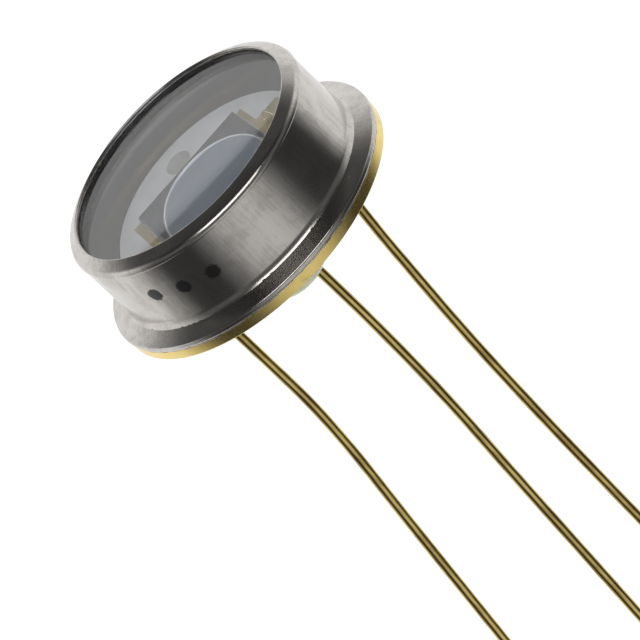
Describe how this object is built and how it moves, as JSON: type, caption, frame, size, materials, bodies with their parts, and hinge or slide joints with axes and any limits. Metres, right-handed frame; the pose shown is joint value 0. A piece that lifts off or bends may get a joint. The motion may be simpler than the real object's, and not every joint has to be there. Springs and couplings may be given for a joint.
{
  "type": "photodiode",
  "caption": "Large-area silicon photodiode in a round metal can with a flat glass window, a gold-plated header and long wire leads.",
  "frame": {"origin": "centre of the ring-shaped underside of the header flange, the face that sits on the board", "axes": "+Z along the can's axis towards the window, leads run down -Z; anode lead on -X, cathode lead on +X, case lead on -Y"},
  "size_m": [0.014, 0.014, 0.0302],
  "materials": {
    "nickel_plate": "satin nickel plate with fine drawing marks",
    "gold_plate": "satin gold plate",
    "window_glass": "clear polished glass",
    "seal_glass": "dark fired glass frit",
    "header_glass": "pale green sealing glass, glossy",
    "weld_flash": "rough weld flash",
    "ceramic": "matt alumina",
    "gold_film": "fired gold film",
    "adhesive": "silver-filled adhesive",
    "silicon": "polished silicon under lavender oxide",
    "coating": "blue-grey anti-reflection layer",
    "chip_metal": "bright evaporated metal",
    "bond_gold": "drawn gold wire"
  },
  "bodies": {
    "root": {"cap_shell": "nickel_plate", "window_glass": "window_glass", "window_seal_ring": "seal_glass", "weld_ring": "weld_flash", "header_eyelet": "gold_plate", "header_glass": "header_glass", "lead_anode": "gold_plate", "lead_cathode": "gold_plate", "lead_case": "gold_plate", "case_lead_weld": "weld_flash", "substrate_bond": "adhesive", "ceramic_substrate": "ceramic", "die_pad": "gold_film", "die_attach": "adhesive", "silicon_die": "silicon", "active_area_coating": "coating", "contact_ring": "chip_metal", "anode_wire": "bond_gold", "cathode_wire": "bond_gold"}
  },
  "joints": []
}
